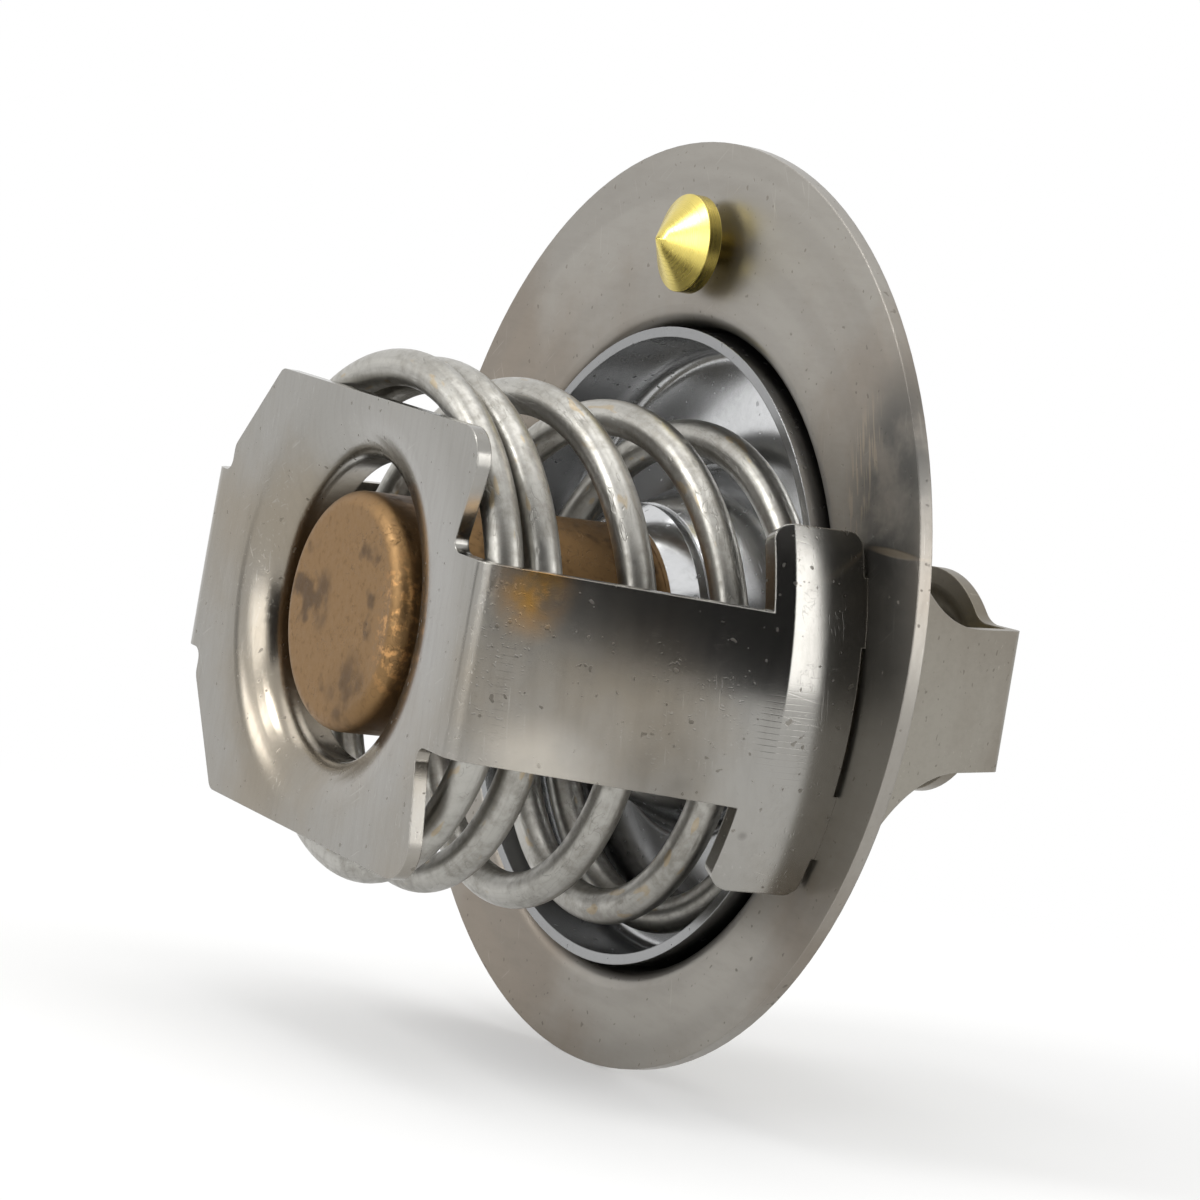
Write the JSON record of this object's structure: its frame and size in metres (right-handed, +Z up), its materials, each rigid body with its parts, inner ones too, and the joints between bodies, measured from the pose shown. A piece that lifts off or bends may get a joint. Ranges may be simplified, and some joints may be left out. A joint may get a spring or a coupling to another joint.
{
  "type": "engine thermostat",
  "caption": "Wax thermostat of a car engine: round steel flange with a sprung valve, a copper wax capsule in a folded cage, a loose brass vent pin and a bridge on the outlet side.",
  "frame": {"origin": "centre of the mounting flange's outer rim, on its engine-side face", "axes": "+X along the valve axis towards the outlet, +Z up through the jiggle pin; the valve axis lies 2.5 mm below the flange's centre"},
  "size_m": [0.0437, 0.054, 0.054],
  "materials": {
    "flange_steel": "satin, worn",
    "frame_steel": "satin, scratched",
    "spring_steel": "bright drawn wire",
    "copper": "dull, worn bright at the edge",
    "cup_steel": "drawn, polished",
    "polished_steel": "polished",
    "yellow_brass": "turned, worn",
    "bridge_steel": "satin",
    "wax": "dull",
    "black_rubber": "matte",
    "white_plastic": "matte",
    "turned_brass": "turned",
    "ground_steel": "ground"
  },
  "bodies": {
    "housing": {"mounting_flange": "flange_steel", "lower_frame": "frame_steel", "main_spring": "spring_steel", "outlet_bridge": "bridge_steel", "piston": "ground_steel"},
    "valve": {"wax_capsule": "copper", "valve_cup": "cup_steel", "retaining_collar": "polished_steel", "wax_charge": "wax", "rubber_sleeve": "black_rubber", "backup_washer": "white_plastic", "piston_guide": "turned_brass"},
    "jiggle": {"jiggle_pin": "yellow_brass"}
  },
  "joints": [
    {"name": "valve_lift", "type": "slide", "parent": "housing", "child": "valve", "axis": [-1, 0, 0], "range_m": [0, 0.008], "stiffness_N_per_m": 4000, "springref_m": -0.015, "deforming": ["main_spring"]},
    {"name": "jiggle_slide", "type": "slide", "parent": "housing", "child": "jiggle", "axis": [1, 0, 0], "range_m": [-0.001, 0.0008]}
  ]
}
